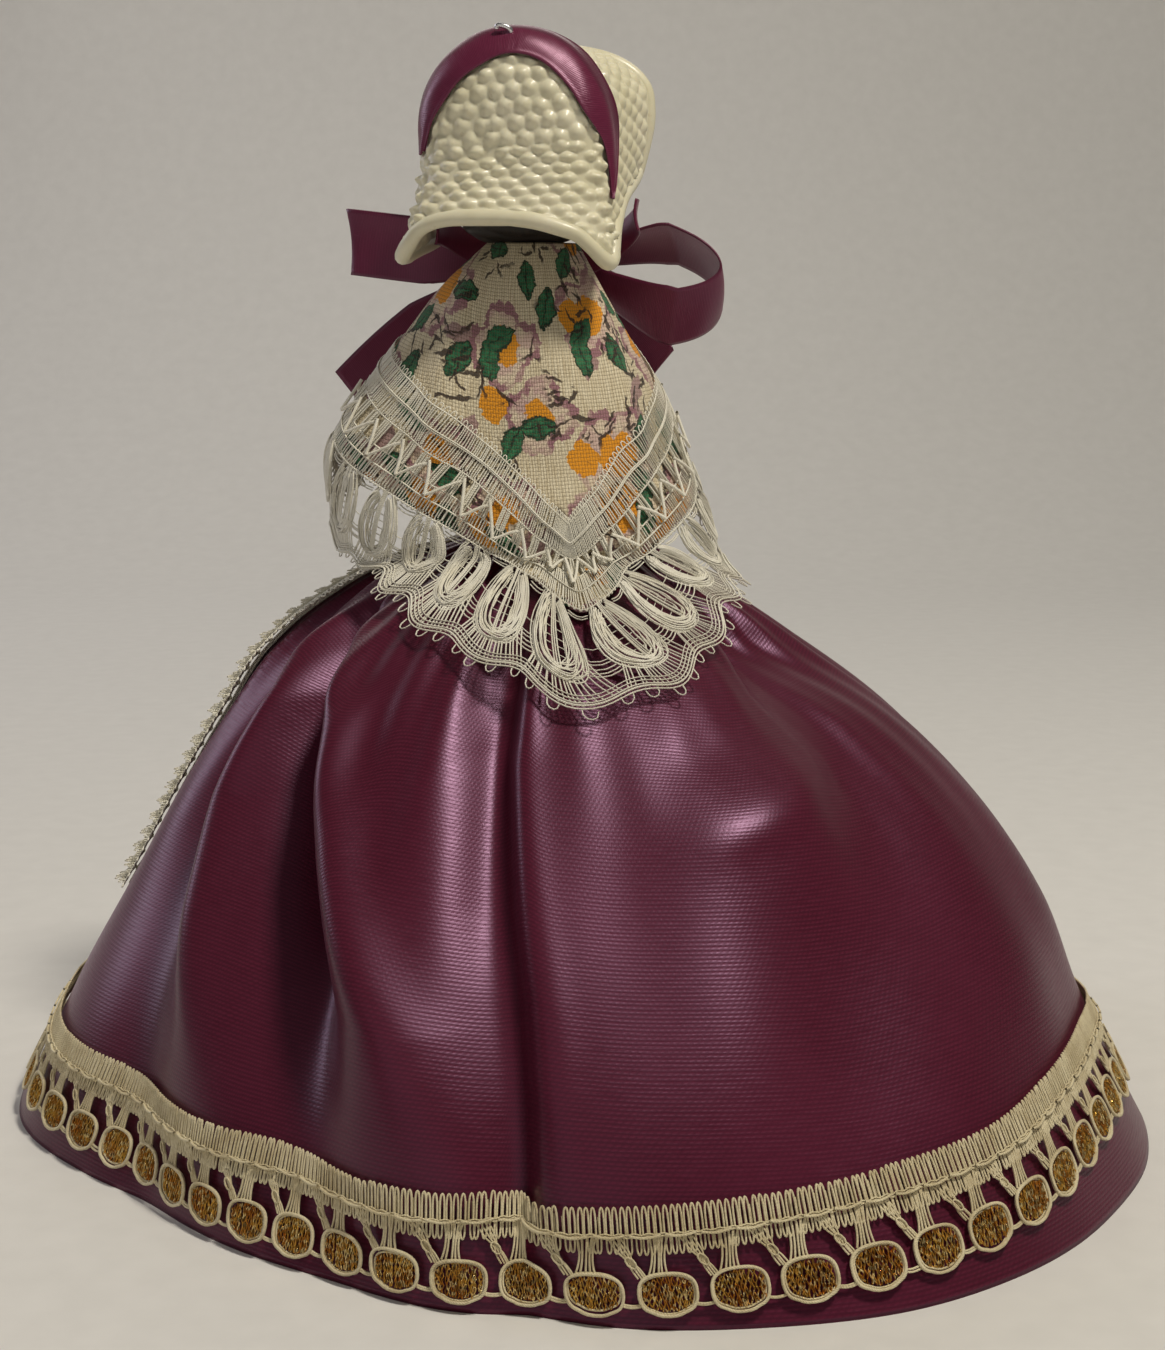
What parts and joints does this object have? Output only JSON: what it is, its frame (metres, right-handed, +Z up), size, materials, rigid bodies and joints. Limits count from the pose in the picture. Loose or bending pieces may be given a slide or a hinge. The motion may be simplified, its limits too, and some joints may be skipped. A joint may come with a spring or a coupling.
{
  "type": "topsy turvy doll",
  "caption": "Reversible cloth doll in a bonnet, shawl and full satin skirt, with a head-down doll hidden under the skirt; heads turn and arms swing.",
  "frame": {"origin": "middle of the hem's outline, on the surface that the skirt stands on", "axes": "+Z up, towards the bonnet; the upper doll faces -Y, with its left hand on the +X side"},
  "size_m": [0.1658, 0.1659, 0.1536],
  "materials": {
    "birch_wood": "plain turned dowel",
    "blue_cotton": "plain-weave cotton",
    "body_cloth": "stuffed cotton body",
    "bonnet_plastic": "moulded with a pebbled surface",
    "bright_steel": "bright pin",
    "cream_cotton": "plain-weave cotton",
    "cream_lace": "machine lace, ladder heading and scalloped edge",
    "dark_hair": "moulded hair, painted dark",
    "doll_vinyl": "soft moulded vinyl",
    "plum_ribbon": "smooth satin ribbon with woven edges",
    "plum_satin": "woven satin with fine crosswise ribs, soft sheen",
    "printed_cotton": "plain-weave cotton with a small flower print"
  },
  "bodies": {
    "doll_body": {"apron": "cream_cotton", "apron_lace_left": "cream_lace", "apron_lace_right": "cream_lace", "bodice_hidden": "blue_cotton", "bodice_upper": "plum_satin", "collar_hidden": "cream_lace", "hem_lace": "cream_lace", "shawl": "printed_cotton", "shawl_lace": "cream_lace", "shoulder_pin_hidden": "bright_steel", "shoulder_pin_upper": "bright_steel", "skirt_lining": "printed_cotton", "skirt_outer": "plum_satin", "spine_dowel": "birch_wood", "torso_hidden": "body_cloth", "torso_upper": "body_cloth", "waist_sash": "plum_ribbon"},
    "head_upper": {"band_stud": "bright_steel", "bonnet_band": "plum_ribbon", "bonnet_shell": "bonnet_plastic", "bow_loop_left": "plum_ribbon", "bow_loop_right": "plum_ribbon", "bow_tail_left": "plum_ribbon", "bow_tail_right": "plum_ribbon", "chin_knot": "plum_ribbon", "chin_ties": "plum_ribbon", "hair_upper": "dark_hair", "head_upper": "doll_vinyl"},
    "head_hidden": {"cap_hidden": "cream_cotton", "hair_hidden": "dark_hair", "head_hidden": "doll_vinyl"},
    "arm_left_upper": {"arm_left_upper": "cream_cotton", "hand_left_upper": "doll_vinyl"},
    "arm_right_upper": {"arm_right_upper": "cream_cotton", "hand_right_upper": "doll_vinyl"},
    "arm_left_hidden": {"arm_left_hidden": "blue_cotton", "hand_left_hidden": "doll_vinyl"},
    "arm_right_hidden": {"arm_right_hidden": "blue_cotton", "hand_right_hidden": "doll_vinyl"}
  },
  "joints": [
    {"name": "upper_head_turn", "type": "hinge", "parent": "doll_body", "child": "head_upper", "pos_m": [0.0049, 0, 0.12193], "axis": [0.061, 0, 0.9981], "range_deg": [-12, 14]},
    {"name": "hidden_head_turn", "type": "hinge", "parent": "doll_body", "child": "head_hidden", "pos_m": [0.0005, 0, 0.05007], "axis": [-0.061, 0, -0.9981], "range_deg": [-25, 25]},
    {"name": "upper_left_arm_swing", "type": "hinge", "parent": "doll_body", "child": "arm_left_upper", "pos_m": [0.01327, 0, 0.1114], "axis": [-0.9981, 0, 0.061], "range_deg": [-5, 25]},
    {"name": "upper_right_arm_swing", "type": "hinge", "parent": "doll_body", "child": "arm_right_upper", "pos_m": [-0.0047, 0, 0.1125], "axis": [-0.9981, 0, 0.061], "range_deg": [-5, 25]},
    {"name": "hidden_left_arm_swing", "type": "hinge", "parent": "doll_body", "child": "arm_left_hidden", "pos_m": [-0.00787, 0, 0.0606], "axis": [-0.9981, 0, 0.061], "range_deg": [-15, 40]},
    {"name": "hidden_right_arm_swing", "type": "hinge", "parent": "doll_body", "child": "arm_right_hidden", "pos_m": [0.0101, 0, 0.0595], "axis": [-0.9981, 0, 0.061], "range_deg": [-15, 40]}
  ]
}
